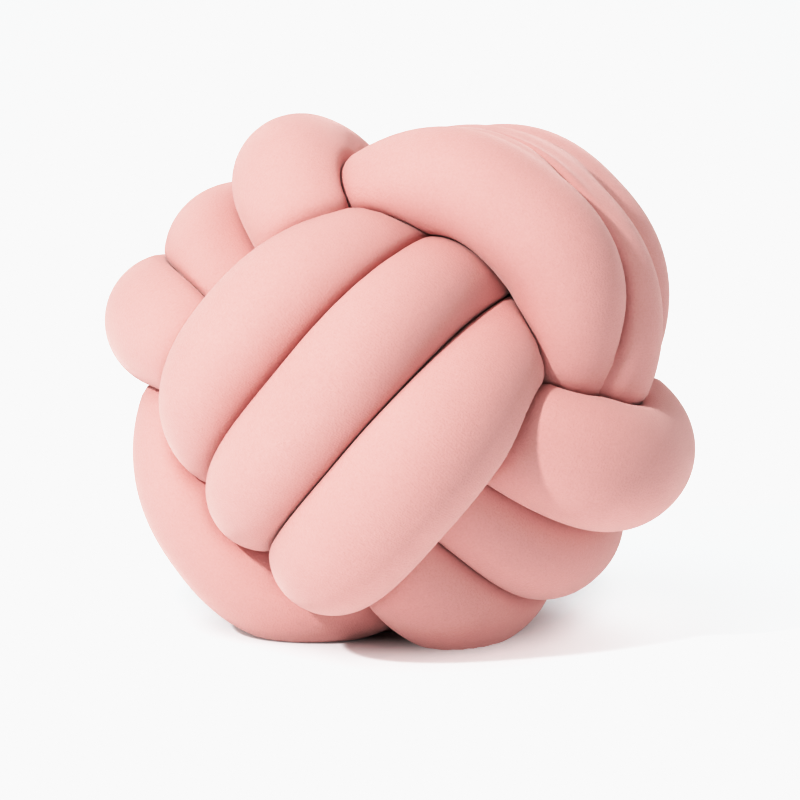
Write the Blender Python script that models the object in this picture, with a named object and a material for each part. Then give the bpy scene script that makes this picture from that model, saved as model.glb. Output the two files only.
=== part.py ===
"""Knot cushion: one long stuffed jersey tube, wound into a ball that rests on a floor.

The tube makes three bands of three turns each. Every band goes over one band and under the
other, which locks the ball, and the tube's two ends are joined inside it, so that the whole
cushion is one endless closed tube. Where turns press on each other they flatten along the
plane between them, which leaves the narrow creases of a stuffed knot.

Metres, +Z up. The front faces -Y and the cushion rests on Z = 0.
"""
import math

import bmesh
import bpy
import numpy as np
from mathutils import Matrix
from mathutils.bvhtree import BVHTree

MM = 0.001
TURN = 2 * math.pi

# The winding: the middle line of the tube, measured from the middle of the ball.
CREST = 117 * MM                # an outer run, where it lies highest
SIDE_TURN_DROP = 10 * MM        # how much lower the two side turns of a band lie
HALF_WIDTH = 69 * MM            # the hidden inner runs
MIDDLE_TURN_EXTRA = 9 * MM      # how much wider the middle turn is
SQUARENESS = 2.6                # 2 is an ellipse, and more is squarer
PITCH_OUTSIDE = 49.5 * MM       # from turn to turn over an outer run
PITCH_INSIDE = 26.5 * MM        # from turn to turn where they are drawn together inside
PITCH_SOFTNESS = 0.35           # how gently the turns part again
CROSSING = math.radians(100)    # the stretch of a hidden run in which a turn shifts to the next
LEAD = math.radians(43)         # where a band leaves its first hidden run, and its last
CORE_POINT = (5 * MM, -33 * MM, 15 * MM)   # on the way to the next band, in the band's axes

# The stuffed tube.
RADIUS_OUTSIDE = 32 * MM
RADIUS_INSIDE = 26 * MM
CORE_SWELL = 30 * MM            # the tube spreads into the room that is left in the core
CREASE = 1.6 * MM               # open gap between two turns that press on each other
HIDDEN_GAP = 5 * MM             # the same gap deep inside, where no one sees it
SEEN_DEPTH = 108 * MM           # from this far out the creases can be seen
HIDDEN_DEPTH = 78 * MM          # and from this far in they can't
EDGE_SOFTNESS = 9               # a higher power gives sharper edges at the flattened sides
BEND_LIMIT = 0.9                # share of the bend radius that the tube may fill on its inside
GIVE_STEP = 0.8 * MM            # how much corners draw back at a time where turns would still meet
GIVE_ROUNDS = 12
CLEARANCE = 0.3 * MM            # what is left between two turns, on each side
OWN_REACH = 105 * MM            # nearer than this along the tube is the same bend
FULL_SHARE = 55 * MM            # turns this far apart push each other aside by their fullness

# How the ball lies: its own turn, the tilt to the floor, and the floor below its middle.
BALL_TURN = {"X": -9.5, "Y": -18.0, "Z": 49.0}
TILT = 7.0
MIDDLE_HEIGHT = 129.5 * MM

# Outer runs that differ from the even winding, in millimetres: shifted across the band,
# outward or along the run, fuller or thinner in radius, and then what is added 50 mm along
# the run: sideways at one end and back at the other (slant), sideways at both (bow), and
# further out at one end and in at the other (lean).
RUN_COLUMNS = ("across", "outward", "along", "fuller", "slant", "bow", "lean")
RUNS = {
    ("front", "near", 1): (3, -3, -3, 0, 0, -2, 0),
    ("front", "near", 0): (1, 2, -2, -2, 2, 3, -3),
    ("front", "near", -1): (1, 9, -9, 2, 0, -2, 0),
    ("right", "near", 1): (5, 12, 3, -3, 5, 1, -4),
    ("right", "near", 0): (12, 0, -10, 0, -7, 2, 1),
    ("right", "near", -1): (-2, 5, -3, -1, 0, -2, 3),
    ("right", "far", 1): (-6, -3, 9, 8, 3, -2, -9),
    ("right", "far", -1): (0, 3, 0, 0, 0, 0, 0),
    ("top", "near", 1): (-5, -1, 7, 2, 9, 1, 2),
    ("top", "near", 0): (-10, 0, -14, 0, -1, -1, 1),
    ("top", "near", -1): (-7, 3, 14, 3, 6, 5, -1),
    ("top", "far", 1): (3, 3, 5, 3, 0, 2, 2),
    ("top", "far", 0): (-6, -5, -11, -3, -2, 2, 2),
    ("top", "far", -1): (1, -11, 4, 4, -4, 0, 0),
}
RUN_UNIT = 50 * MM

# For each band, the ball axis that its outer runs follow, the axis across it, and its outward one.
BANDS = {"front": (0, 1, 2), "right": (1, 2, 0), "top": (2, 0, 1)}
TURNS = (1, 0, -1)

# How finely the tube is drawn.
DRAFT_STEPS = 240               # steps in one turn of the middle line
STEP_SEEN = 19 * MM             # from one drawn section to the next, on the outside of a bend
STEP_HIDDEN = 26 * MM
SIDES = 15                      # corners of a section

JERSEY_COLOUR = (0.74, 0.42, 0.38, 1.0)
JERSEY_ROUGHNESS = 0.9


def clear_scene():
    for item in list(bpy.data.objects):
        bpy.data.objects.remove(item, do_unlink=True)


def ease(x):
    x = np.clip(x, 0, 1)
    return x * x * (3 - 2 * x)


def run_changes(key):
    """The table's row for a run, in metres; a run without a row follows the rule."""
    row = RUNS.get(key, (0,) * len(RUN_COLUMNS))
    return {column: value * MM for column, value in zip(RUN_COLUMNS, row)}


def band_line(band):
    """Three turns of one band: points in the ball's axes, free radii, and height shares."""
    angle = np.linspace(LEAD, 3 * TURN - LEAD, 3 * DRAFT_STEPS)
    turn = 1 - ease((angle - TURN) / CROSSING + 0.5) - ease((angle - 2 * TURN) / CROSSING + 0.5)

    # The loop of each turn, a rounded box in the plane of the run and the outward axis.
    height = CREST - SIDE_TURN_DROP * turn ** 2
    width = HALF_WIDTH + MIDDLE_TURN_EXTRA * (1 - turn ** 2)
    cosine = -np.cos(angle)
    sine = np.sin(angle)
    reach = (np.abs(cosine / width) ** SQUARENESS + np.abs(sine / height) ** SQUARENESS)
    reach = reach ** (-1 / SQUARENESS)
    along = reach * cosine
    outward = reach * sine

    # Turns lie apart over the outer runs and are drawn together inside.
    up = np.clip(np.abs(outward) / height, 0, 1)
    spread = np.sqrt(up ** 2 + PITCH_SOFTNESS ** 2) - PITCH_SOFTNESS
    spread = spread / (math.sqrt(1 + PITCH_SOFTNESS ** 2) - PITCH_SOFTNESS)
    across = turn * (PITCH_INSIDE + (PITCH_OUTSIDE - PITCH_INSIDE) * spread)
    radius = RADIUS_INSIDE + (RADIUS_OUTSIDE - RADIUS_INSIDE) * up ** 2

    # What single runs do on their own, strongest at the crest and gone inside.
    half_turn = np.floor(2 * angle / TURN).astype(int)
    way_along = along / RUN_UNIT
    share = ease(up)
    for number in range(6):
        side = "near" if number % 2 == 0 else "far"
        sign = 1 if side == "near" else -1
        change = run_changes((band, side, TURNS[number // 2]))
        here = np.where(half_turn == number, share, 0)
        across = across + here * (change["across"] + change["slant"] * way_along
                                  + change["bow"] * way_along ** 2)
        outward = outward + here * sign * (change["outward"] + change["lean"] * way_along)
        along = along + here * change["along"]
        radius = radius + here * change["fuller"]

    points = np.zeros((len(angle), 3))
    for axis, values in zip(BANDS[band], (along, across, outward)):
        points[:, axis] = values
    return points, radius, up


def direction(step):
    return step / np.linalg.norm(step)


def bridge(start, start_way, end, end_way, shares):
    """A smooth curve between two points, leaving and arriving in the given directions."""
    t = shares[:, None]
    pull = np.linalg.norm(end - start)
    return ((2 * t ** 3 - 3 * t ** 2 + 1) * start + (t ** 3 - 2 * t ** 2 + t) * start_way * pull
            + (3 * t ** 2 - 2 * t ** 3) * end + (t ** 3 - t ** 2) * end_way * pull)


def core_link(band, line, following):
    """The hidden stretch through the core, from the end of one band to the start of the next."""
    core = np.zeros(3)
    core[list(BANDS[band])] = CORE_POINT
    start_way = direction(line[-1] - line[-2])
    end_way = direction(following[1] - following[0])
    core_way = direction(following[0] - line[-1])
    steps = np.linspace(0, 1, DRAFT_STEPS // 8 + 1)
    inward = bridge(line[-1], start_way, core, core_way, steps[1:])
    onward = bridge(core, core_way, following[0], end_way, steps[1:-1])
    return np.concatenate([inward, onward])


def tube_line():
    """The middle line of the whole tube as one closed run of points."""
    lines = [band_line(band) for band in BANDS]
    points, radii, ups = [], [], []
    for number, band in enumerate(BANDS):
        line, radius, up = lines[number]
        following, next_radius, next_up = lines[(number + 1) % len(lines)]
        link = core_link(band, line, following)
        points += [line, link]
        radii += [radius, np.linspace(radius[-1], next_radius[0], len(link))]
        dip = 1 - np.sin(np.linspace(0, math.pi, len(link)))
        ups += [up, np.linspace(up[-1], next_up[0], len(link)) * dip]
    return np.concatenate(points), np.concatenate(radii), np.concatenate(ups)


def bend_vectors(points):
    """The curvature of the line at each station, as a vector to the inside of the bend."""
    ahead = np.roll(points, -1, axis=0) - points
    behind = points - np.roll(points, 1, axis=0)
    ahead_length = np.linalg.norm(ahead, axis=1)[:, None]
    behind_length = np.linalg.norm(behind, axis=1)[:, None]
    change = ahead / ahead_length - behind / behind_length
    return 2 * change / (ahead_length + behind_length)


def spaced_evenly(points, radii, ups):
    """Fewer stations along the line, closer together in bends and where the tube shows."""
    steps = np.linalg.norm(np.roll(points, -1, axis=0) - points, axis=1)
    bend = np.linalg.norm(bend_vectors(points), axis=1)
    spacing = STEP_HIDDEN + (STEP_SEEN - STEP_HIDDEN) * ease(ups * 2)
    cost = np.concatenate([[0], np.cumsum(steps * (1 + radii * bend) / spacing)])
    count = int(round(cost[-1]))
    wanted = np.arange(count) * cost[-1] / count
    closed = np.vstack([points, points[:1]])
    stations = np.stack([np.interp(wanted, cost, closed[:, axis]) for axis in range(3)], axis=1)
    free = np.interp(wanted, cost, np.append(radii, radii[0]))
    height = np.interp(wanted, cost, np.append(ups, ups[0]))
    length = np.concatenate([[0], np.cumsum(steps)])
    return stations, free, height, np.interp(wanted, cost, length), length[:-1], length[-1]


def section_axes(points):
    """Two directions across the tube at each station, carried along without twisting."""
    ways = np.roll(points, -1, axis=0) - np.roll(points, 1, axis=0)
    ways = ways / np.linalg.norm(ways, axis=1)[:, None]
    count = len(points)
    first = np.zeros((count, 3))
    first[0] = direction(np.cross(ways[0], (0.3, 0.5, 0.8)))
    for i in range(1, count):
        first[i] = direction(first[i - 1] - ways[i] * np.dot(first[i - 1], ways[i]))
    # Going once round the closed tube leaves a small turn, shared out over all stations.
    last = direction(first[-1] - ways[0] * np.dot(first[-1], ways[0]))
    miss = math.atan2(np.dot(np.cross(last, first[0]), ways[0]), np.dot(last, first[0]))
    turn = (miss * np.arange(count) / count)[:, None]
    second = np.cross(ways, first)
    return (first * np.cos(turn) + second * np.sin(turn),
            second * np.cos(turn) - first * np.sin(turn))


def tube_triangles(count):
    """Corner numbers of all triangles between sections that follow each other in a ring."""
    triangles = []
    for i in range(count):
        this, following = i * SIDES, (i + 1) % count * SIDES
        for j in range(SIDES):
            k = (j + 1) % SIDES
            triangles.append((this + j, this + k, following + k))
            triangles.append((this + j, following + k, following + j))
    return triangles


def corners_that_meet(sections):
    """Marks the corners of triangles that cut another part of the tube."""
    triangles = tube_triangles(len(sections))
    tree = BVHTree.FromPolygons(sections.reshape(-1, 3).tolist(), triangles)
    meeting = np.zeros(len(sections) * SIDES, dtype=bool)
    for one, other in tree.overlap(tree):
        if not set(triangles[one]) & set(triangles[other]):
            meeting[list(triangles[one] + triangles[other])] = True
    return meeting.reshape(len(sections), SIDES)


def tube_sections():
    """Corner points of every section, as an array of stations by corners by axes."""
    line, line_radii, ups = tube_line()
    stations, free, height, places, line_places, total = spaced_evenly(line, line_radii, ups)
    first, second = section_axes(stations)
    bends = bend_vectors(stations)
    angles = TURN * np.arange(SIDES) / SIDES
    ways = (first[:, None] * np.cos(angles)[None, :, None]
            + second[:, None] * np.sin(angles)[None, :, None])

    # Each corner stops at the plane between its own station and any other part of the tube.
    limit = np.full((len(stations), SIDES), 1.0)
    for i, centre in enumerate(stations):
        apart = np.abs(line_places - places[i])
        apart = np.minimum(apart, total - apart)
        other = apart > OWN_REACH
        offset = line[other] - centre
        facing = ways[i] @ offset.T
        square = (offset ** 2).sum(axis=1)
        fuller = (free[i] ** 2 - line_radii[other] ** 2) * np.minimum(square / FULL_SHARE ** 2, 1)
        plane = (square + fuller) / (2 * np.maximum(facing, 1e-6))
        touch = centre + ways[i] * plane.min(axis=1)[:, None]
        deep = ease((SEEN_DEPTH - np.linalg.norm(touch, axis=1)) / (SEEN_DEPTH - HIDDEN_DEPTH))
        limit[i] = plane.min(axis=1) - (CREASE + (HIDDEN_GAP - CREASE) * deep) / 2
        inside = np.maximum(ways[i] @ bends[i], 1e-6)
        limit[i] = np.minimum(limit[i], BEND_LIMIT / inside)

    free = (free + CORE_SWELL * (1 - height) ** 4)[:, None]
    radius = (free ** -EDGE_SOFTNESS + limit ** -EDGE_SOFTNESS) ** (-1 / EDGE_SOFTNESS)

    # Between the corners the surface is flat, so a few corners have to give way a little more.
    for _ in range(GIVE_ROUNDS):
        meeting = corners_that_meet(stations[:, None] + ways * (radius + CLEARANCE)[..., None])
        if not meeting.any():
            break
        radius = np.where(meeting, radius - GIVE_STEP, radius)
    return stations[:, None] + ways * radius[..., None]


def lie_on_floor(points):
    """Turn the ball to how it lies, press it on the floor and centre it over the origin."""
    turn = Matrix.Rotation(math.radians(90 - TILT), 3, "X")
    for axis in ("Z", "Y", "X"):
        turn = turn @ Matrix.Rotation(math.radians(BALL_TURN[axis]), 3, axis)
    placed = points @ np.array(turn).T
    placed[..., 2] = np.maximum(placed[..., 2] + MIDDLE_HEIGHT, 0)
    flat = placed.reshape(-1, 3)
    middle = (flat.min(axis=0) + flat.max(axis=0)) / 2
    return placed - (middle[0], middle[1], 0)


def build_tube(name, sections):
    """Skin the sections of the closed tube with a ring of triangles from each to the next."""
    work = bmesh.new()
    corners = [work.verts.new(corner) for corner in sections.reshape(-1, 3)]
    for triangle in tube_triangles(len(sections)):
        work.faces.new([corners[number] for number in triangle])
    bmesh.ops.recalc_face_normals(work, faces=work.faces)
    mesh = bpy.data.meshes.new(name)
    work.to_mesh(mesh)
    work.free()
    mesh.shade_smooth()
    tube = bpy.data.objects.new(name, mesh)
    bpy.context.collection.objects.link(tube)
    return tube


def jersey_material():
    material = bpy.data.materials.new("jersey")
    material.use_nodes = True
    shader = material.node_tree.nodes["Principled BSDF"]
    shader.inputs["Base Color"].default_value = JERSEY_COLOUR
    shader.inputs["Roughness"].default_value = JERSEY_ROUGHNESS
    shader.inputs["Metallic"].default_value = 0.0
    return material


def build_cushion():
    clear_scene()
    tube = build_tube("knot_tube", lie_on_floor(tube_sections()))
    tube.data.materials.append(jersey_material())
    return tube


build_cushion()
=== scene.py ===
# %% [markdown]
# # A knot cushion
#
# The object is a ball about 30 cm across. It is one long tube of dusty pink jersey, stuffed
# and then wound over and under itself: three bands of three turns each, as a sailor winds a
# monkey's fist. Nothing else shows, no seam, zip or label. So this lesson has one piece to
# make, and three questions. How does the tube run? How does a soft tube press against its
# neighbours? What does brushed jersey look like up close?
#
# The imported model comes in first. It is the fixed frame that every piece has to fit.

import math

import bpy
import numpy as np
from mathutils import Matrix


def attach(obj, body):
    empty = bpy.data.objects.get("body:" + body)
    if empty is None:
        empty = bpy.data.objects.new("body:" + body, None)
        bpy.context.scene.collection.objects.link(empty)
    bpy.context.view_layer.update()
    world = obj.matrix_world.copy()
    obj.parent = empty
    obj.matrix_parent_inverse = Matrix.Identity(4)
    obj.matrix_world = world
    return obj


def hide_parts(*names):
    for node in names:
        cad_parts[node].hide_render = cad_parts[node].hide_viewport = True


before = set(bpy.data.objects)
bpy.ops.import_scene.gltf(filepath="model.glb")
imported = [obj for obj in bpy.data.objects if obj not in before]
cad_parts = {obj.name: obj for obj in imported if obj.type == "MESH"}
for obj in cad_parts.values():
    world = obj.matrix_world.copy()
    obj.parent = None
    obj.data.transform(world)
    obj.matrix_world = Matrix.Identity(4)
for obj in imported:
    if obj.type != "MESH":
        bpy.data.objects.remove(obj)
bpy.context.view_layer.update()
MM = 0.001
TURN = 2 * math.pi

# %% [markdown]
# ## The winding
#
# A maker winds three turns round the ball one way, then three across them, then three more
# across both. Each turn is a loop: it runs over the outside, dives under a neighbour at the
# edge and comes back through the inside. One could bend a curve by hand in the viewport, but
# nine loops that fit each other to a millimetre are easier to write down as a rule. A rounded
# box, which is called a superellipse, gives the loop, and a smooth shift on the hidden side
# leads from one turn to the next.

# %% Sizes of the winding
CREST = 117 * MM                # how far out an outer run lies
SIDE_TURN_DROP = 10 * MM        # the two side turns of a band lie lower
HALF_WIDTH = 69 * MM            # the hidden runs at the loop's two ends
MIDDLE_TURN_EXTRA = 9 * MM      # the middle turn is a little wider
SQUARENESS = 2.6                # 2 is an ellipse, and more is squarer
PITCH_OUTSIDE = 49.5 * MM       # from turn to turn where they show
PITCH_INSIDE = 26.5 * MM        # from turn to turn where they are drawn together
PITCH_SOFTNESS = 0.35           # how gently the turns part again
CROSSING = math.radians(100)    # the stretch in which a turn shifts to the next
LEAD = math.radians(43)         # where a band starts and ends
RADIUS_OUTSIDE = 32 * MM        # the stuffed tube where it shows
RADIUS_INSIDE = 26 * MM
DRAFT_STEPS = 480               # steps in one turn of the draft line

# For each band: the ball axis it runs along, the one across it, and the one it faces.
BANDS = {"front": (0, 1, 2), "right": (1, 2, 0), "top": (2, 0, 1)}
TURNS = (1, 0, -1)
print(len(BANDS) * len(TURNS), "turns")

# %% [markdown]
# ### No hand winds evenly
#
# The next table says, in millimetres, how each outer run differs from the rule: shifted
# across the band, further out, further along, or fuller. The next three columns say what is
# added 50 mm along the run. A slant goes sideways at one end and back at the other, a bow goes
# sideways at both, and a lean lifts one end and lowers the other. The last column lets one
# end of a run swell sideways against the neighbours of its own band, which is where the real
# creases fade out.
#
# One could drag each loop into place by hand, but numbers in a table can be held against the
# photo and put right one at a time. They are what makes the ball look wound and not printed.

# %% How single runs differ
RUN_COLUMNS = ("across", "outward", "along", "fuller", "slant", "bow", "lean", "wider")
RUNS = {
    ("front", "near", 1): (3, -3, -3, 0, 0, -2, 0, 0),
    ("front", "near", 0): (1, 2, -2, -2, 2, 3, -3, 0),
    ("front", "near", -1): (1, 9, -9, 2, 0, -2, 0, 0),
    ("right", "near", 1): (5, 12, 3, -3, 5, 1, -4, 24),
    ("right", "near", 0): (12, 0, -10, 0, -7, 2, 1, 22),
    ("right", "near", -1): (-2, 5, -3, -1, 0, -2, 3, 18),
    ("right", "far", 1): (-6, -3, 9, 8, 3, -2, -9, 0),
    ("right", "far", -1): (0, 3, 0, 0, 0, 0, 0, 0),
    ("top", "near", 1): (-5, -1, 7, 2, 9, 1, 2, 0),
    ("top", "near", 0): (-10, 0, -14, 0, -1, -1, 1, 0),
    ("top", "near", -1): (-7, 3, 14, 3, 6, 5, -1, 0),
    ("top", "far", 1): (3, 3, 5, 3, 0, 2, 2, 0),
    ("top", "far", 0): (-6, -5, -11, -3, -2, 2, 2, 0),
    ("top", "far", -1): (1, -11, 4, 4, -4, 0, 0, 0),
}
RUN_UNIT = 50 * MM


def run_changes(key):
    """The table's row for a run, in metres; a run without a row follows the rule."""
    row = RUNS.get(key, (0,) * len(RUN_COLUMNS))
    return {column: value * MM for column, value in zip(RUN_COLUMNS, row)}


print(len(RUNS), "of", 2 * len(BANDS) * len(TURNS), "outer runs have a row of their own")

# %% [markdown]
# ## One band
#
# A band is three turns that lie side by side, and each turn shows twice, once on the near
# side of the ball and once on the far side. Numpy works on all points of a band at once, so
# no loop over the points is needed. `turn` goes from +1 over 0 to -1, and it only changes on
# the hidden side. The spread between turns follows how far out a point lies, so the turns
# part where they show and are drawn together inside.

# %% The loop of a turn
def ease(x):
    """Rises from 0 to 1 with a soft start and a soft end."""
    x = np.clip(x, 0, 1)
    return x * x * (3 - 2 * x)


def loop_points(angle, turn):
    """Where the loop of a turn is, along the run and outward, and its full height."""
    height = CREST - SIDE_TURN_DROP * turn ** 2
    width = HALF_WIDTH + MIDDLE_TURN_EXTRA * (1 - turn ** 2)
    cosine = -np.cos(angle)
    sine = np.sin(angle)
    reach = np.abs(cosine / width) ** SQUARENESS + np.abs(sine / height) ** SQUARENESS
    reach = reach ** (-1 / SQUARENESS)
    return reach * cosine, reach * sine, height


for share, name in ((0.0, "one end"), (0.25, "the crest"), (0.5, "the other end")):
    place = loop_points(share * TURN, 0)[:2]
    print("middle turn at", name, "in mm:", [round(float(value) / MM, 1) for value in place])

# %% [markdown]
# The next function puts three such loops beside each other, and then adds what the table says.
# Every entry is strongest at a run's crest and fades out where the run dives under a
# neighbour, so the hidden parts stay as the rule has them.

# %% The line of one band
def band_line(band):
    """Points in the ball's axes, the stuffed radius, how far out they lie, and the widening."""
    angle = np.linspace(LEAD, len(TURNS) * TURN - LEAD, len(TURNS) * DRAFT_STEPS)
    turn = 1 - sum(ease((angle - TURN * n) / CROSSING + 0.5) for n in (1, 2))
    along, outward, height = loop_points(angle, turn)

    up = np.clip(np.abs(outward) / height, 0, 1)
    spread = np.sqrt(up ** 2 + PITCH_SOFTNESS ** 2) - PITCH_SOFTNESS
    spread = spread / (math.sqrt(1 + PITCH_SOFTNESS ** 2) - PITCH_SOFTNESS)
    across = turn * (PITCH_INSIDE + (PITCH_OUTSIDE - PITCH_INSIDE) * spread)
    radius = RADIUS_INSIDE + (RADIUS_OUTSIDE - RADIUS_INSIDE) * up ** 2
    wider = np.zeros(len(angle))

    half_turn = np.floor(2 * angle / TURN).astype(int)
    way_along = along / RUN_UNIT
    for number in range(2 * len(TURNS)):
        side = "near" if number % 2 == 0 else "far"
        sign = 1 if side == "near" else -1
        change = run_changes((band, side, TURNS[number // 2]))
        here = np.where(half_turn == number, ease(up), 0)
        across = across + here * (change["across"] + change["slant"] * way_along
                                  + change["bow"] * way_along ** 2)
        outward = outward + here * sign * (change["outward"] + change["lean"] * way_along)
        along = along + here * change["along"]
        radius = radius + here * change["fuller"]
        # The widening sets in 25 mm before the run's middle and is full 25 mm after it.
        wider = wider + here * change["wider"] * ease(0.5 + way_along)

    points = np.zeros((len(angle), 3))
    for axis, values in zip(BANDS[band], (along, across, outward)):
        points[:, axis] = values
    return points, radius, up, wider


for band in BANDS:
    lengths = np.linalg.norm(np.diff(band_line(band)[0], axis=0), axis=1)
    print("band", band, "takes", round(lengths.sum(), 2), "m of tube")

# %% [markdown]
# ## From band to band
#
# The real tube passes through the middle of the ball on its way to the next band, where
# nobody sees it. A straight line would leave a kink at both ends. A Hermite curve, which
# starts and ends in given directions, bridges the gap smoothly through one chosen point. The
# three bands and three bridges make one closed line.

# %% The whole line
CORE_POINT = (5 * MM, -33 * MM, 15 * MM)    # on the way to the next band, in the band's axes
LINK_STEPS = DRAFT_STEPS // 8               # steps in each half of a bridge


def direction(step):
    """The same way, at a length of 1."""
    return step / np.linalg.norm(step)


def bridge(start, start_way, end, end_way, shares):
    """A smooth curve that leaves and arrives in the given directions."""
    t = shares[:, None]
    pull = np.linalg.norm(end - start)
    return ((2 * t ** 3 - 3 * t ** 2 + 1) * start + (t ** 3 - 2 * t ** 2 + t) * start_way * pull
            + (3 * t ** 2 - 2 * t ** 3) * end + (t ** 3 - t ** 2) * end_way * pull)


def core_link(band, line, following):
    """The hidden stretch from the end of one band to the start of the next."""
    core = np.zeros(3)
    core[list(BANDS[band])] = CORE_POINT
    leaving = direction(line[-1] - line[-2])
    core_way = direction(following[0] - line[-1])
    arriving = direction(following[1] - following[0])
    shares = np.linspace(0, 1, LINK_STEPS + 1)
    inward = bridge(line[-1], leaving, core, core_way, shares[1:])
    onward = bridge(core, core_way, following[0], arriving, shares[1:-1])
    return np.concatenate([inward, onward])


def tube_line():
    """The closed line: points, radii, how far out, sideways widening, and the band's number."""
    lines = [band_line(band) for band in BANDS]
    points, radii, ups, widths, numbers = [], [], [], [], []
    for number, band in enumerate(BANDS):
        line, radius, up, wider = lines[number]
        following, next_radius, next_up, _ = lines[(number + 1) % len(lines)]
        link = core_link(band, line, following)
        dip = 1 - np.sin(np.linspace(0, math.pi, len(link)))
        points += [line, link]
        radii += [radius, np.linspace(radius[-1], next_radius[0], len(link))]
        ups += [up, np.linspace(up[-1], next_up[0], len(link)) * dip]
        # The widening is kept as a vector across the band. Its length is the root, because
        # the press squares it again.
        aside = np.zeros((len(line) + len(link), 3))
        aside[:len(line), BANDS[band][1]] = np.sqrt(wider)
        widths.append(aside)
        numbers += [np.full(len(line), number), np.full(len(link), -1)]
    return [np.concatenate(values) for values in (points, radii, ups, widths, numbers)]


draft, draft_radii, draft_ups, draft_widths, draft_bands = tube_line()
print("draft line:", len(draft), "points")

# %% [markdown]
# ## Turned and set on the floor
#
# The ball doesn't stand square: it was put down the way it happened to roll. Three turns lay
# the winding in the photo's position, and one more leans it to the camera, which looks down a
# little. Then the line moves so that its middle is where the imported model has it. The points
# themselves are turned, and not the object, because a finished piece has to sit unturned at
# the origin.

# %% Lay the line
BALL_TURN = {"Z": 49.0, "Y": -18.0, "X": -9.5}    # degrees, the last one first
TILT = 7.0                                        # degrees that the camera looks down
BALL_MIDDLE = np.array((3.2, 4.2, 129.5)) * MM

lie = Matrix.Rotation(math.radians(90 - TILT), 3, "X")
for axis, degrees in BALL_TURN.items():
    lie = lie @ Matrix.Rotation(math.radians(degrees), 3, axis)
draft = draft @ np.array(lie).T + BALL_MIDDLE
draft_widths = draft_widths @ np.array(lie).T
print("line spans in mm:", (draft.min(axis=0) / MM).round(), (draft.max(axis=0) / MM).round())

# %% [markdown]
# ## Stations
#
# The mesh gets one ring of corners at each station. They are set closer where the tube shows
# and where it bends, so that the triangles go where the eye goes. Each station also keeps
# what the press in the next step needs: its stuffed radius, its bend, which band it belongs
# to and how much it widens.

# %% Stations along the line
STEP_SEEN = 5.4 * MM
STEP_HIDDEN = 11 * MM
CORE_SWELL = 30 * MM            # stuffing spreads into the room left in the core
SWELL_FALL = 4                  # a higher power keeps the swelling deeper inside


def bend_vectors(points):
    """How sharply the line bends at each point, as a vector to the inside of the bend."""
    ahead = np.roll(points, -1, axis=0) - points
    behind = points - np.roll(points, 1, axis=0)
    ahead_length = np.linalg.norm(ahead, axis=1)[:, None]
    behind_length = np.linalg.norm(behind, axis=1)[:, None]
    change = ahead / ahead_length - behind / behind_length
    return 2 * change / (ahead_length + behind_length)


# From half way out, the tube counts as seen.
steps = np.linalg.norm(np.roll(draft, -1, axis=0) - draft, axis=1)
bend = np.linalg.norm(bend_vectors(draft), axis=1)
spacing = STEP_HIDDEN + (STEP_SEEN - STEP_HIDDEN) * ease(draft_ups * 2)
cost = np.concatenate([[0], np.cumsum(steps * (1 + draft_radii * bend) / spacing)])
wanted = np.arange(round(cost[-1])) * cost[-1] / round(cost[-1])


def at_stations(values):
    """Reads values of the draft line off at the stations."""
    if values.ndim == 2:
        return np.stack([at_stations(column) for column in values.T], axis=1)
    return np.interp(wanted, cost, np.append(values, values[0]))


stations = at_stations(draft)
ups = at_stations(draft_ups)
places = np.interp(wanted, cost, np.concatenate([[0], np.cumsum(steps)]))
STUFFED = {
    "stuffed_radius": at_stations(draft_radii) + CORE_SWELL * (1 - ups) ** SWELL_FALL,
    "line_radius": at_stations(draft_radii),
    "aside": at_stations(draft_widths),
    "band": at_stations(draft_bands),
    "bend": bend_vectors(stations),
}
print(len(stations), "stations on", round(steps.sum(), 2), "m of tube")

# %% [markdown]
# The line becomes a mesh of points and edges. Geometry Nodes read a mesh's attributes by
# name, so the radii and bends are stored on its points. A curve object has only its own
# radius and tilt, which isn't enough here.

# %% The line as a mesh
def new_object(name, data):
    """Puts a mesh, a lamp or a camera into the scene."""
    thing = bpy.data.objects.new(name, data)
    bpy.context.collection.objects.link(thing)
    return thing


line_mesh = bpy.data.meshes.new("winding_line")
edges = [(i, (i + 1) % len(stations)) for i in range(len(stations))]
line_mesh.from_pydata(stations.tolist(), edges, [])
for name, values in STUFFED.items():
    kind, field = ("FLOAT_VECTOR", "vector") if values.ndim == 2 else ("FLOAT", "value")
    attribute = line_mesh.attributes.new(name, kind, "POINT")
    attribute.data.foreach_set(field, values.ravel().astype(np.float32))
cushion = new_object("knot_cushion", line_mesh)
print("line mesh:", len(line_mesh.vertices), "points,", len(line_mesh.edges), "edges")

# %% [markdown]
# ## How soft turns press on each other
#
# Two stuffed tubes that lie side by side don't stay round: they flatten against each other
# along a plane between them. Cloth simulation is the usual way to get that, but a tube of
# nearly six metres that touches itself all over takes long and rarely comes to rest. The
# plane can be worked out directly instead:
#
# 1. sweep a circle along the line, so that each corner has a centre and a way outwards;
# 2. let each corner start far out, and ask which point of the line is nearest to it;
# 3. if that is another turn, draw the corner back to the plane between the two centres;
# 4. do it again until nothing changes, which takes a few rounds;
# 5. blend that limit with the tube's own round radius.
#
# Geometry Nodes suit this well: Geometry Proximity finds the nearest point, and a Repeat zone
# does the rounds. A few short helpers keep the tree readable.

# %% Helpers for building a tree
def wire(tree, socket, value):
    """Feeds a socket with another node's output, or sets it to a plain value."""
    if isinstance(value, bpy.types.NodeSocket):
        tree.links.new(value, socket)
    elif value is not None:
        socket.default_value = value


def add(tree, kind, inputs=None, **settings):
    """Adds a node, sets it up, feeds its inputs by name or number, and returns it."""
    node = tree.nodes.new(kind)
    for key, value in settings.items():
        setattr(node, key, value)
    for key, value in (inputs or {}).items():
        wire(tree, node.inputs[key], value)
    number = len(tree.nodes) - 1
    node.location = (220 * (number % 10), -260 * (number // 10))
    return node


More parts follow.
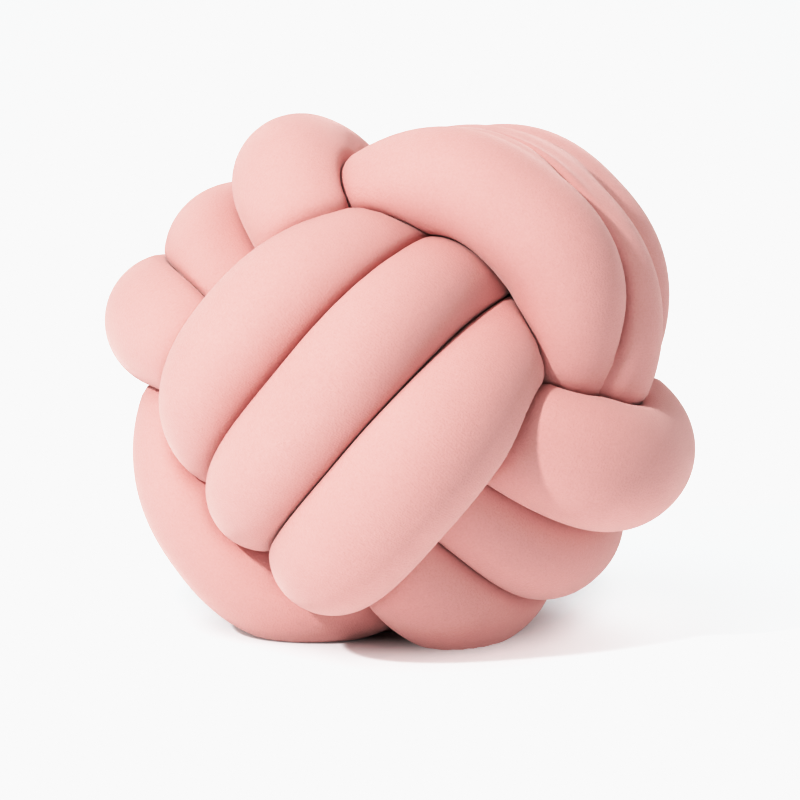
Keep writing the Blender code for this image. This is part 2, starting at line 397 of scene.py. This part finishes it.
def maths(tree, operation, *values):
    """One Math node, for example maths(tree, "ADD", a, 2)."""
    return add(tree, "ShaderNodeMath", dict(enumerate(values)), operation=operation).outputs[0]


def vectors(tree, operation, *values):
    """One Vector Math node; a dot product or a length comes out as a number."""
    node = add(tree, "ShaderNodeVectorMath", dict(enumerate(values)), operation=operation)
    numbers = ("DOT_PRODUCT", "LENGTH", "DISTANCE")
    return node.outputs["Value" if operation in numbers else "Vector"]


# %% [markdown]
# Three patterns of nodes come back often, in the press and in the materials: a number made
# into a vector, a soft change from one number to another, and a group's named sockets. Made
# with `interface.new_socket`, the sockets show up in the modifier under their own names.

# %% Patterns of nodes
def thrice(tree, value):
    """A vector whose three parts are the same number."""
    return add(tree, "ShaderNodeCombineXYZ", {0: value, 1: value, 2: value}).outputs["Vector"]


def fade(tree, value, start, end, first=0.0, last=1.0):
    """Goes softly from a first to a last number while the value goes from start to end."""
    return add(tree, "ShaderNodeMapRange",
               {"Value": value, "From Min": start, "From Max": end,
                "To Min": first, "To Max": last},
               interpolation_type="SMOOTHSTEP").outputs["Result"]


def open_group(tree, inputs, output, output_kind):
    """Gives a group its named inputs and its output, and returns the inputs for use inside."""
    for name, (kind, value) in inputs.items():
        socket = tree.interface.new_socket(name, in_out="INPUT", socket_type=kind)
        if value is not None:
            socket.default_value = value
    tree.interface.new_socket(output, in_out="OUTPUT", socket_type=output_kind)
    return tree.nodes.new("NodeGroupInput").outputs


# %% [markdown]
# ### The tree's inputs
#
# Every size that shapes the tube is a named input, so that the same tree could wind a
# thinner or a slacker tube.

# %% Inputs of the press
SIDES = 76                      # corners round the tube
PRESS_INPUTS = {
    "Line": ("NodeSocketGeometry", None),
    "Sides": ("NodeSocketInt", SIDES),
    "Rounds": ("NodeSocketInt", 10),
    "Crease": ("NodeSocketFloat", 0.6 * MM),          # gap between two turns that touch
    "Hidden gap": ("NodeSocketFloat", 3 * MM),        # the same gap deep inside
    "Seen depth": ("NodeSocketFloat", 108 * MM),      # creases show from this far out
    "Hidden depth": ("NodeSocketFloat", 78 * MM),     # and from this far in they don't
    "Edge softness": ("NodeSocketFloat", 50.0),       # a higher power gives sharper edges
    "Bend limit": ("NodeSocketFloat", 0.9),           # share of a bend's radius it may fill
    "Own bend": ("NodeSocketFloat", 25 * MM),         # nearer points are the same bend
    "Full share": ("NodeSocketFloat", 55 * MM),       # up to here fuller turns push more
    "Soften": ("NodeSocketInt", 1),                   # rounds that even the radius out
    "Middle": ("NodeSocketVector", tuple(BALL_MIDDLE)),
    "Floor press": ("NodeSocketFloat", 1.0 * MM),
    "Jersey": ("NodeSocketMaterial", None),
}
press = bpy.data.node_groups.new("Wind and press a stuffed tube", "GeometryNodeTree")
given = open_group(press, PRESS_INPUTS, "Tube", "NodeSocketGeometry")


def read(name, kind="FLOAT"):
    """Reads a stored attribute inside the tree."""
    return add(press, "GeometryNodeInputNamedAttribute", {"Name": name},
               data_type=kind).outputs["Attribute"]


def store(geometry, name, value, kind="FLOAT"):
    """Stores an attribute on the points and returns the geometry."""
    return add(press, "GeometryNodeStoreNamedAttribute",
               {"Geometry": geometry, "Name": name, "Value": value},
               data_type=kind, domain="POINT").outputs["Geometry"]


print("inputs:", ", ".join(PRESS_INPUTS))

# %% [markdown]
# ### Sweep a circle
#
# The centre of each ring is stored on the curve before the sweep, and every corner of the
# ring inherits it. A corner's way outwards is then its place less its centre. The sweep is
# only there to give these ways, so the circle's own radius doesn't matter.

# %% Sweep
ANY_RADIUS = 10 * MM
START_FAR = 3.0                 # times the stuffed radius

position = add(press, "GeometryNodeInputPosition").outputs["Position"]
curve = add(press, "GeometryNodeMeshToCurve", {"Mesh": given["Line"]}).outputs["Curve"]
curve = store(curve, "centre", position, "FLOAT_VECTOR")
ring = add(press, "GeometryNodeCurvePrimitiveCircle",
           {"Resolution": given["Sides"], "Radius": ANY_RADIUS}, mode="RADIUS").outputs["Curve"]
swept = add(press, "GeometryNodeCurveToMesh",
            {"Curve": curve, "Profile Curve": ring}).outputs["Mesh"]
centre = read("centre", "FLOAT_VECTOR")
outwards = vectors(press, "NORMALIZE", vectors(press, "SUBTRACT", position, centre))
swept = store(swept, "way", outwards, "FLOAT_VECTOR")
stuffed = read("stuffed_radius")
swept = store(swept, "reach", maths(press, "MULTIPLY", stuffed, START_FAR))
print("nodes so far:", len(press.nodes))

# %% [markdown]
# ### Draw back from the neighbours
#
# The plane between two equal tubes lies half way. If `o` is the step from this centre to the
# neighbour's and `w` the corner's way outwards, the corner meets that plane at
# `o.o / (2 w.o)`. A fuller tube pushes the plane over, which adds the difference of the
# squared radii to `o.o`.
#
# For the thinner of two tubes the plane then lies short of half way. A corner that has come
# back that far would find its own tube nearest and lose sight of the neighbour. So each round
# looks a little ahead of the corner.

# %% Helpers of the press
way = read("way", "FLOAT_VECTOR")
reach = read("reach")


def out_to(length):
    """The place that lies this far out from the centre, the corner's way."""
    return vectors(press, "MULTIPLY_ADD", way, thrice(press, length), centre)


def at_nearest(name, place):
    """An attribute of the line, read at the station that is nearest to a place."""
    number = add(press, "GeometryNodeSampleNearest",
                 {"Geometry": given["Line"], "Sample Position": place}).outputs["Index"]
    return add(press, "GeometryNodeSampleIndex",
               {"Geometry": given["Line"], "Value": read(name),
                "Index": number}).outputs["Value"]


def squared(value):
    """A number times itself."""
    return maths(press, "MULTIPLY", value, value)


# %% The plane between two turns
LOOK_AHEAD = 1.05               # times the corner's reach
TINY = 1e-5                     # keeps a division from dividing by nothing
NO_LIMIT = 1.0                  # metres, far past any corner

corner = out_to(maths(press, "MULTIPLY", reach, LOOK_AHEAD))
nearest = add(press, "GeometryNodeProximity",
              {"Target": given["Line"], "Source Position": corner},
              target_element="EDGES").outputs["Position"]
step = vectors(press, "SUBTRACT", nearest, centre)
square = vectors(press, "DOT_PRODUCT", step, step)
facing = maths(press, "MAXIMUM", vectors(press, "DOT_PRODUCT", way, step), TINY)

fuller = maths(press, "SUBTRACT", squared(read("line_radius")),
               squared(at_nearest("line_radius", corner)))
share = maths(press, "MINIMUM",
              maths(press, "DIVIDE", square, squared(given["Full share"])), 1.0)
plane = maths(press, "DIVIDE",
              maths(press, "ADD", square, maths(press, "MULTIPLY", fuller, share)),
              maths(press, "MULTIPLY", facing, 2.0))
same_bend = maths(press, "LESS_THAN", square, squared(given["Own bend"]))
drawn_back = maths(press, "MINIMUM", reach,
                   maths(press, "MULTIPLY_ADD", same_bend, NO_LIMIT, plane))
print("nodes so far:", len(press.nodes))

# %% [markdown]
# A corner that has come back may now be nearest to another part of the line than before. So
# the step is done over and over: what is wired between the two ends of a Repeat zone runs
# once in every round, and the reach that it stores is the next round's start.

# %% Rounds
zone_in = press.nodes.new("GeometryNodeRepeatInput")
zone_out = press.nodes.new("GeometryNodeRepeatOutput")
zone_in.pair_with_output(zone_out)
wire(press, zone_in.inputs["Iterations"], given["Rounds"])
wire(press, zone_in.inputs["Geometry"], swept)
wire(press, zone_out.inputs["Geometry"],
     store(zone_in.outputs["Geometry"], "reach", drawn_back))
pressed = zone_out.outputs["Geometry"]
print("nodes so far:", len(press.nodes))

# %% [markdown]
# ### How near the turns come
#
# Seen creases are tight, and deep inside the turns stay a little further apart, where no one
# looks. Half of that gap belongs to each turn. On the inside of a tight bend the tube must
# not fill more than the bend's own radius, or it would fold through itself.

# %% Limit
touch = out_to(reach)
depth = vectors(press, "LENGTH", vectors(press, "SUBTRACT", touch, given["Middle"]))
gap = fade(press, depth, given["Hidden depth"], given["Seen depth"],
           given["Hidden gap"], given["Crease"])
limit = maths(press, "MULTIPLY_ADD", gap, -0.5, reach)
inside = maths(press, "MAXIMUM", vectors(
    press, "DOT_PRODUCT", way, read("bend", "FLOAT_VECTOR")), TINY)
limit = maths(press, "MINIMUM", limit, maths(press, "DIVIDE", given["Bend limit"], inside))
print("nodes so far:", len(press.nodes))

# %% [markdown]
# ### Swell sideways
#
# The runs with a number in the last column of the table swell here. A corner that points
# straight across its band gets all of it and one that points outward gets none, and the
# square of how far it points across does for those between. Only a corner that is pressed on
# by a run of its own band swells. That run is looked up a little beyond the plane, and the
# swelling fades where the plane is far off.

# %% Widening
LOOK_BEYOND = 1.3               # times the corner's reach
PRESSED, FREE = 1.2, 2.0        # how far off the plane is, in stuffed radii
SAME_NUMBER = 0.1               # bands have whole numbers, so a tenth tells them apart

their_band = at_nearest("band", out_to(maths(press, "MULTIPLY", reach, LOOK_BEYOND)))
same_band = maths(press, "COMPARE", their_band, read("band"), SAME_NUMBER)
beside = fade(press, maths(press, "DIVIDE", limit, stuffed), PRESSED, FREE, 1.0, 0.0)
aside = vectors(press, "DOT_PRODUCT", way, read("aside", "FLOAT_VECTOR"))
wider = maths(press, "MULTIPLY", squared(aside), same_band)
free = maths(press, "MULTIPLY_ADD", wider, beside, stuffed)
print("nodes so far:", len(press.nodes))

# %% [markdown]
# ### Blend with the round tube
#
# `free * (1 + (free / limit) ** n) ** (-1 / n)` is the free radius where the limit is far
# off, and the limit where it is near. Its power says how sharp the edge is. A smooth blend is
# better than the smaller of the two, which would leave a hard line along every crease.

# %% Blend
crowd = maths(press, "POWER", maths(press, "DIVIDE", free, limit), given["Edge softness"])
radius = maths(press, "MULTIPLY", free, maths(
    press, "POWER", maths(press, "ADD", crowd, 1.0),
    maths(press, "DIVIDE", -1.0, given["Edge softness"])))
radius = add(press, "GeometryNodeBlurAttribute",
             {"Value": radius, "Iterations": given["Soften"]},
             data_type="FLOAT").outputs["Value"]
tube = add(press, "GeometryNodeSetPosition",
           {"Geometry": pressed, "Position": out_to(radius)}).outputs["Geometry"]
print("nodes so far:", len(press.nodes))

# %% [markdown]
# ### Rest on the floor
#
# Below the floor the cloth lies flat. A hard cut would leave a sharp line, so within a
# millimetre of the floor the height follows `(z + k)**2 / 4k` and joins both sides smoothly.
# The tree ends in Realize Instances and Set Material, which the export needs.

# %% Floor and end of the tree
split = add(press, "ShaderNodeSeparateXYZ", {"Vector": position}).outputs
soft = maths(press, "MAXIMUM", maths(press, "ADD", split["Z"], given["Floor press"]), 0.0)
curved = maths(press, "DIVIDE", squared(soft),
               maths(press, "MULTIPLY", given["Floor press"], 4.0))
above = maths(press, "GREATER_THAN", split["Z"], given["Floor press"])
# A Mix node's sockets go by number: for plain numbers, 2 and 3 are what it mixes.
height = add(press, "ShaderNodeMix", {0: above, 2: curved, 3: split["Z"]},
             data_type="FLOAT").outputs[0]
on_floor = add(press, "ShaderNodeCombineXYZ", {0: split["X"], 1: split["Y"], 2: height})
tube = add(press, "GeometryNodeSetPosition",
           {"Geometry": tube, "Position": on_floor.outputs["Vector"]}).outputs["Geometry"]
tube = add(press, "GeometryNodeSetShadeSmooth", {"Geometry": tube}).outputs["Geometry"]
tube = add(press, "GeometryNodeRealizeInstances", {"Geometry": tube}).outputs["Geometry"]
tube = add(press, "GeometryNodeSetMaterial",
           {"Geometry": tube, "Material": given["Jersey"]}).outputs["Geometry"]
wire(press, press.nodes.new("NodeGroupOutput").inputs["Tube"], tube)
print("press tree:", len(press.nodes), "nodes")

# %% [markdown]
# ## The jersey
#
# Brushed cotton jersey is a knit of fine loops, about a millimetre wide, with a soft nap that
# blurs them. From a step away it looks matt and even, with a fine mottle in the half shade
# and a pale bloom where the nap is seen edge on. A photo of cloth could be laid on as a
# texture, but it would blur from near and repeat from afar. Sines and noise stay sharp at any
# distance. The knit follows the tube, so it reads the tube's own UV map, in metres. The nap
# reads Object coordinates.
#
# The knit is a node group, so that other cushions could use it with their own loop size.

# %% The knit as a node group
KNIT_INPUTS = {
    "UV": ("NodeSocketVector", None),
    "Loop width": ("NodeSocketFloat", 1.1 * MM),
    "Loop height": ("NodeSocketFloat", 0.9 * MM),
    "Slant": ("NodeSocketFloat", 0.8),
}
knit = bpy.data.node_groups.new("Jersey knit", "ShaderNodeTree")
loop = open_group(knit, KNIT_INPUTS, "Height", "NodeSocketFloat")
around = add(knit, "ShaderNodeSeparateXYZ", {"Vector": loop["UV"]}).outputs
column = maths(knit, "FRACT", maths(knit, "DIVIDE", around["X"], loop["Loop width"]))
side = maths(knit, "ABSOLUTE", maths(knit, "SUBTRACT", column, 0.5))
row = maths(knit, "DIVIDE", around["Y"], loop["Loop height"])
row = maths(knit, "FRACT", maths(knit, "MULTIPLY_ADD", side, loop["Slant"], row))
leg = maths(knit, "SINE", maths(knit, "MULTIPLY", side, TURN))
bump = maths(knit, "SINE", maths(knit, "MULTIPLY", row, math.pi))
wire(knit, add(knit, "NodeGroupOutput").inputs["Height"],
     maths(knit, "MULTIPLY", maths(knit, "ABSOLUTE", leg), bump))
print("knit group:", len(knit.nodes), "nodes")

# %% [markdown]
# Sheen is what a nap does to light. Its values are the same all over, so they sit on the
# shader's own sockets, where the export can read them. The paper under the ball will be made
# in the same way, so making a material gets a helper.

# %% Helpers for a material
def new_material(name, finish):
    """A material with plain values on its shader's own sockets; returns it and its parts."""
    material = bpy.data.materials.new(name)
    material.use_nodes = True
    shader = material.node_tree.nodes["Principled BSDF"]
    for socket, value in finish.items():
        shader.inputs[socket].default_value = value
    return material, material.node_tree, shader


def noise(tree, place, size, roughness):
    """A noise pattern from 0 to 1."""
    return add(tree, "ShaderNodeTexNoise", {"Vector": place, "Scale": size, "Detail": 2.0,
                                            "Roughness": roughness}).outputs["Fac"]


JERSEY_FINISH = {"Metallic": 0.0, "IOR": 1.4, "Specular IOR Level": 0.2,
                 "Sheen Weight": 0.35, "Sheen Roughness": 0.45,
                 "Sheen Tint": (1.0, 0.86, 0.82, 1.0)}
jersey, cloth, shader = new_material("jersey", JERSEY_FINISH)
print("plain values of the jersey:", ", ".join(JERSEY_FINISH))

# %% [markdown]
# Colour hardly changes: a slow drift over a few centimetres, and a fine mottle from the nap.
# Roughness varies a little with the nap. Nap and knit together make a relief of half a
# millimetre, which is bump alone, because no outline would show it.

# %% Jersey material
JERSEY_LIGHT = (0.66, 0.347, 0.325, 1.0)
JERSEY_DEEP = (0.58, 0.279, 0.259, 1.0)
DRIFT_SIZE, NAP_SIZE = 28.0, 850.0                      # a higher number is finer
NAP_SHADE, DRIFT_SHADE, KNIT_SHADE = 0.9, 0.35, 0.04    # their shares of the light colour
LEAST_ROUGH, NAP_ROUGH = 0.8, 0.16
KNIT_RELIEF = 0.15                                      # next to 1 for the nap
RELIEF_STRENGTH, RELIEF_HEIGHT = 0.6, 0.5 * MM

here = add(cloth, "ShaderNodeTexCoord").outputs["Object"]
tube_uv = add(cloth, "ShaderNodeUVMap", uv_map="along_tube").outputs["UV"]
stitches = add(cloth, "ShaderNodeGroup", node_tree=knit)
wire(cloth, stitches.inputs["UV"], tube_uv)
stitches = stitches.outputs["Height"]
drift = noise(cloth, here, DRIFT_SIZE, roughness=0.5)
nap = noise(cloth, here, NAP_SIZE, roughness=0.6)
shade = maths(cloth, "MULTIPLY_ADD", nap, NAP_SHADE,
              maths(cloth, "MULTIPLY", drift, DRIFT_SHADE))
shade = maths(cloth, "MULTIPLY_ADD", stitches, KNIT_SHADE, shade)
# For colours, sockets 6 and 7 are what a Mix node mixes, and 2 is what comes out.
colour = add(cloth, "ShaderNodeMix", {0: shade, 6: JERSEY_DEEP, 7: JERSEY_LIGHT},
             data_type="RGBA", clamp_factor=True).outputs[2]
relief = maths(cloth, "ADD", nap, maths(cloth, "MULTIPLY", stitches, KNIT_RELIEF))
bumped = add(cloth, "ShaderNodeBump", {"Strength": RELIEF_STRENGTH, "Distance": RELIEF_HEIGHT,
                                       "Height": relief}).outputs["Normal"]
wire(cloth, shader.inputs["Base Color"], colour)
wire(cloth, shader.inputs["Roughness"],
     maths(cloth, "MULTIPLY_ADD", nap, NAP_ROUGH, LEAST_ROUGH))
wire(cloth, shader.inputs["Normal"], bumped)
print("jersey:", len(cloth.nodes), "nodes")

# %% [markdown]
# ## Make the tube
#
# The tree goes on the line as a modifier. Its inputs are set by their sockets' identifiers,
# before anything is evaluated. The evaluated result is then kept as a plain mesh, because the
# export bakes meshes and not trees.

# %% Evaluate the press
sockets = {item.name: item.identifier for item in press.interface.items_tree
           if item.in_out == "INPUT"}
modifier = cushion.modifiers.new("Wind and press", "NODES")
modifier.node_group = press
modifier[sockets["Sides"]] = SIDES
modifier[sockets["Jersey"]] = jersey
depsgraph = bpy.context.evaluated_depsgraph_get()
wound = bpy.data.meshes.new_from_object(cushion.evaluated_get(depsgraph),
                                        preserve_all_data_layers=True, depsgraph=depsgraph)
cushion.modifiers.clear()
cushion.data = wound
wound.name = "knot_cushion"
print("tube:", len(wound.vertices), "corners,", len(wound.polygons), "faces")

# %% [markdown]
# ### A UV map in metres
#
# Unwrapping by hand would need a seam along nearly six metres of tube. The sweep numbers its
# corners ring by ring, so a corner's number already says where it is: which station, and
# which corner of the ring. The map runs along the tube in one direction and round it in the
# other, both in metres, so a stitch has its real size. Where the ring or the tube closes, the
# number starts again at 0, and there the map has to go on to its full length instead.

# %% UV map
ROUND = TURN * RADIUS_OUTSIDE
corner_of = np.zeros(len(wound.loops), dtype=np.int32)
wound.loops.foreach_get("vertex_index", corner_of)
ring_number, side_number = (part.reshape(-1, 4) for part in np.divmod(corner_of, SIDES))


def closing(number, count):
    """Marks the corners numbered 0 in the faces that lead from the last number back to 0."""
    last = number.max(axis=1, keepdims=True) == count - 1
    first = number.min(axis=1, keepdims=True) == 0
    return last & first & (number == 0)


u = (side_number + closing(side_number, SIDES) * SIDES) / SIDES * ROUND
v = places[ring_number] + closing(ring_number, len(stations)) * steps.sum()
uv_map = wound.uv_layers.new(name="along_tube")
uv_map.data.foreach_set("uv", np.stack([u, v], axis=-1).ravel().astype(np.float32))
for name in ("centre", "way", "reach", *STUFFED):
    if name in wound.attributes:
        wound.attributes.remove(wound.attributes[name])
print("UV map in metres:", round(u.max(), 3), "round and", round(v.max(), 3), "along")

# %% [markdown]
# A closed mesh that points outwards has a positive volume, which is a quick test of both.

# %% Measure the tube
corners = np.zeros(3 * len(wound.vertices))
wound.vertices.foreach_get("co", corners)
corners = corners.reshape(-1, 3)
faces = corner_of.reshape(-1, 4)
a, b, c, d = (corners[faces[:, k]] for k in range(4))
volume = (np.cross(a, b) * c).sum() / 6 + (np.cross(a, c) * d).sum() / 6
if volume < 0:
    wound.flip_normals()
print("volume in litres:", round(abs(volume) * 1000, 2),
      "size in mm:", ((corners.max(axis=0) - corners.min(axis=0)) / MM).round(1))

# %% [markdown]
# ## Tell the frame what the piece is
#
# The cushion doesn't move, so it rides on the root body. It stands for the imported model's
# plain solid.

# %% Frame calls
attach(cushion, "root")
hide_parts("knot_tube")
print(cushion.name, "is told to the frame")

# %% [markdown]
# ## The floor
#
# The cushion was photographed on a seamless white sweep: a floor that curves up into a wall,
# so no horizon shows. A plane would end in a line behind the ball, so a profile is drawn from
# the side and stretched sideways.

# %% Sweep
# In metres: where it starts and ends, half its width, the bend's radius and its height.
SWEEP_FRONT, SWEEP_BACK, SWEEP_WIDTH, SWEEP_CURVE, SWEEP_TOP = -3.0, 2.4, 5.0, 1.2, 3.0
CURVE_STEPS = 24
profile = [(SWEEP_FRONT, 0.0), (SWEEP_BACK - SWEEP_CURVE, 0.0)]
for n in range(1, CURVE_STEPS + 1):
    angle = math.radians(90 * n / CURVE_STEPS)
    profile.append((SWEEP_BACK - SWEEP_CURVE + SWEEP_CURVE * math.sin(angle),
                    SWEEP_CURVE * (1 - math.cos(angle))))
profile.append((SWEEP_BACK, SWEEP_TOP))
sweep_points = [(x, y, z) for y, z in profile for x in (-SWEEP_WIDTH, SWEEP_WIDTH)]
sweep_faces = [(2 * n, 2 * n + 1, 2 * n + 3, 2 * n + 2) for n in range(len(profile) - 1)]
sweep_mesh = bpy.data.meshes.new("sweep")
sweep_mesh.from_pydata(sweep_points, [], sweep_faces)
sweep_mesh.shade_smooth()
sweep = new_object("sweep", sweep_mesh)
print("sweep:", len(sweep_faces), "faces")

# %% [markdown]
# White paper under soft light comes out grey, so the paper glows a little, which stands for
# the lamps that a studio points at its background. An oval from just in front of the ball to
# well behind it doesn't glow, so that the shadow where the ball touches the floor stays dark.
# The paper is a touch bluish, which cancels the pink that the ball throws on it.

# %% Paper
SHADOW_MIDDLE = (-0.01, 0.12, 0.0)
SHADOW_SHAPE = (1.55, 1.0, 1.0)     # it is narrower sideways than it is deep
GLOW_FROM, GLOW_FULL = 0.14, 0.22   # metres from the shadow's middle
# Painted light: the paper's emission is a glow with no lamp behind it, and it lifts the floor
# outside the oval.
PAPER_FINISH_AND_GLOW = {"Base Color": (0.76, 0.83, 0.845, 1.0), "Roughness": 0.9,
                "Specular IOR Level": 0.0, "Emission Strength": 0.5}

paper, backdrop, paper_shader = new_material("paper", PAPER_FINISH_AND_GLOW)
place = add(backdrop, "ShaderNodeTexCoord").outputs["Object"]
from_middle = vectors(backdrop, "MULTIPLY", vectors(
    backdrop, "SUBTRACT", place, SHADOW_MIDDLE), SHADOW_SHAPE)
glow = fade(backdrop, vectors(backdrop, "LENGTH", from_middle), GLOW_FROM, GLOW_FULL)
wire(backdrop, paper_shader.inputs["Emission Color"], thrice(backdrop, glow))
sweep_mesh.materials.append(paper)
print("paper:", len(backdrop.nodes), "nodes")

# %% [markdown]
# ## The light
#
# The main light comes from the front left, and its shadows have firm edges, which takes a
# small lamp. Four large soft boxes fill in from above, behind and the right, weakly enough to
# leave the creases dark.

# %% Lamps
# Azimuth (0 is at the camera, minus is left) and elevation in degrees, distance and size in
# metres, and power in watts.
LAMPS = {
    "key": (-40, 33, 2.0, 0.1, 35),
    "top_left": (-45, 60, 2.0, 1.2, 18),
    "back": (180, 40, 2.2, 1.2, 11),
    "top_right": (90, 60, 2.0, 1.2, 15),
    "right_fill": (50, 20, 2.2, 1.2, 3),
}


def softbox(name, azimuth, elevation, distance, size, power):
    """A square lamp that faces the ball."""
    around, above = math.radians(azimuth), math.radians(elevation)
    way = np.array((math.sin(around) * math.cos(above), -math.cos(around) * math.cos(above),
                    math.sin(above)))
    lamp = bpy.data.lights.new(name, "AREA")
    lamp.size = size
    lamp.energy = power
    holder = new_object(name, lamp)
    holder.location = BALL_MIDDLE + way * distance
    holder.rotation_euler = (math.radians(90 - elevation), 0, around)


for name, values in LAMPS.items():
    softbox(name, *values)
print(len(LAMPS), "lamps")

# %% [markdown]
# The room is nearly dark for the sake of the creases too. Seen from the side or from behind,
# the view runs past the end of the sweep into that dark room, and the picture would end in
# black. Light Path knows which rays come straight from the camera, so only those see the room
# pale, and it lights nothing.

# %% Room
ROOM_LIGHT = 0.02               # what the dark room adds
ROOM_SEEN = 0.66                # how pale the room looks past the end of the sweep
world = bpy.data.worlds.new("studio")
bpy.context.scene.world = world
world.use_nodes = True
studio = world.node_tree
background = studio.nodes["Background"]
background.inputs["Color"].default_value = (1.0, 1.0, 1.0, 1.0)
seen = add(studio, "ShaderNodeLightPath").outputs["Is Camera Ray"]
wire(studio, background.inputs["Strength"],
     maths(studio, "MULTIPLY_ADD", seen, ROOM_SEEN, ROOM_LIGHT))
print("world:", len(studio.nodes), "nodes")

# %% [markdown]
# ## Camera
#
# The camera looks along +Y and 7 degrees down, from about a metre and a half, with a long
# lens. These come from the photo: the ball's outline says how far the camera was, and its
# floor contact says how steeply it looked. A small shift of the lens sets the ball where the
# photo has it, without turning the camera.

# %% Camera
CAMERA_DISTANCE = 1.543
PIXELS_PER_MM = 1.928           # at the ball's middle
IMAGE = 800                     # pixels
BALL_PIXEL = (404.7, 381.7)     # where the ball's middle falls in the image
tilt = math.radians(TILT)
camera = bpy.data.cameras.new("camera")
camera.sensor_width = 36
camera.lens = PIXELS_PER_MM / MM * CAMERA_DISTANCE * camera.sensor_width / IMAGE
camera.shift_x = -(BALL_PIXEL[0] - IMAGE / 2) / IMAGE
camera.shift_y = (BALL_PIXEL[1] - IMAGE / 2) / IMAGE
viewer = new_object("camera", camera)
viewer.location = BALL_MIDDLE + CAMERA_DISTANCE * np.array((0, -math.cos(tilt), math.sin(tilt)))
viewer.rotation_euler = (math.radians(90 - TILT), 0, 0)
bpy.context.scene.camera = viewer
print("lens in mm:", round(camera.lens, 1))

# %% [markdown]
# ## Developing the picture
#
# A camera doesn't show light as it is. It deepens the darks, which keeps the creases dark,
# and lets the brights run softly into one even white, which is how the paper looks. Standard
# is Blender's plainest view, and it leaves the pink as it is. So the view stays Standard and
# gets a curve of its own. Each pair says how strong a light is and how strong it is shown,
# and from `LIGHT_WHITE` up everything is shown as `SHOWN_WHITE`.

# %% Tone curve
LIGHT_WHITE, SHOWN_WHITE = 1.25, 0.947
TONES = ((0.05, 0.026), (0.1, 0.06), (0.22, 0.185), (0.31, 0.31), (0.6, 0.63), (0.9, 0.85))
ALL_COLOURS = 3                 # curves 0 to 2 are red, green and blue alone
view = bpy.context.scene.view_settings
view.view_transform = "Standard"
view.use_curve_mapping = True
tones = view.curve_mapping
tones.extend = "HORIZONTAL"
tones.white_level = (LIGHT_WHITE,) * 3
tone_points = tones.curves[ALL_COLOURS].points
tone_points[-1].location = (1.0, SHOWN_WHITE)
for light, shown in TONES:
    tone_points.new(light / LIGHT_WHITE, shown)
tones.update()
print("tone curve:", len(tone_points), "points")
